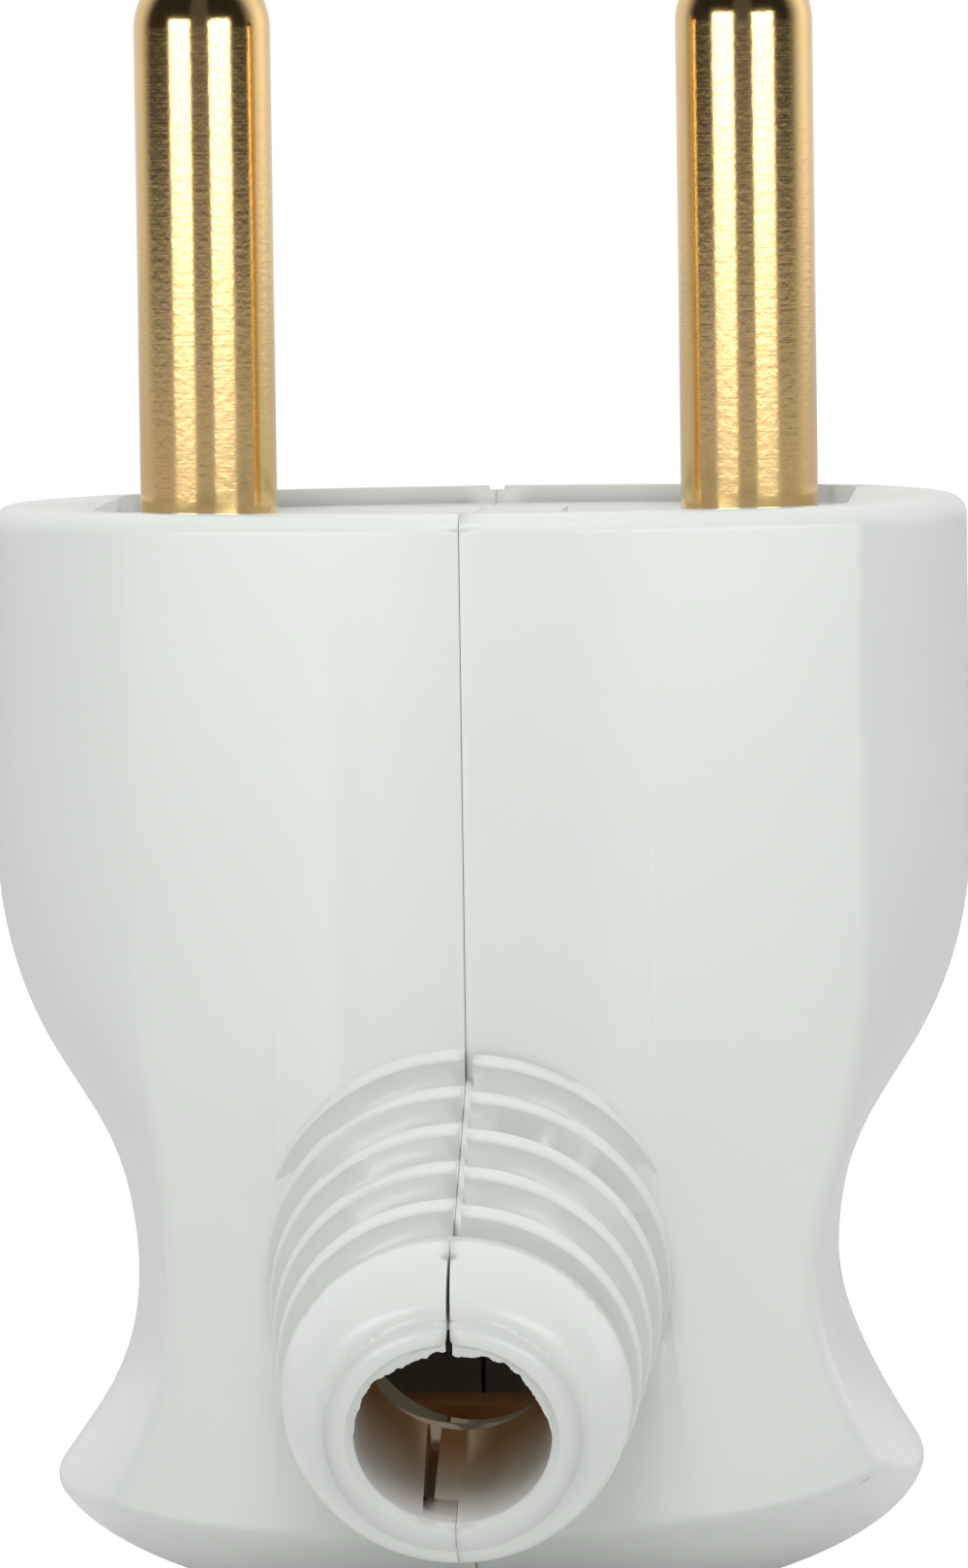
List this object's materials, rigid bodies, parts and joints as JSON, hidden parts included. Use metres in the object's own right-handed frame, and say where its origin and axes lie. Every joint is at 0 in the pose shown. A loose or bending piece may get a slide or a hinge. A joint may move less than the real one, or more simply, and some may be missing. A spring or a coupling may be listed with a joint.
{
  "type": "side-entry plug",
  "caption": "Side-entry mains plug with round pins on a waisted split housing and a ribbed, drooping neck for the cord.",
  "frame": {"origin": "midway between the pins, in the plane of the rim round the face", "axes": "+Z along the pins towards their tips, +X from the left pin to the right pin, -Y out of the cord neck"},
  "size_m": [0.0344, 0.0373, 0.0581],
  "materials": {
    "white_plastic": "satin moulded",
    "pin_brass": "turned",
    "clamp_brass": "stamped",
    "plated_steel": "zinc plated"
  },
  "bodies": {
    "root": {"left_housing": "white_plastic", "right_housing": "white_plastic", "left_pin": "pin_brass", "right_pin": "pin_brass", "clamp_bar": "clamp_brass", "clamp_bridge": "clamp_brass", "left_clamp_screw": "plated_steel", "right_clamp_screw": "plated_steel", "left_terminal_screw": "plated_steel", "right_terminal_screw": "plated_steel", "assembly_screw": "plated_steel", "assembly_nut": "plated_steel"}
  },
  "joints": []
}
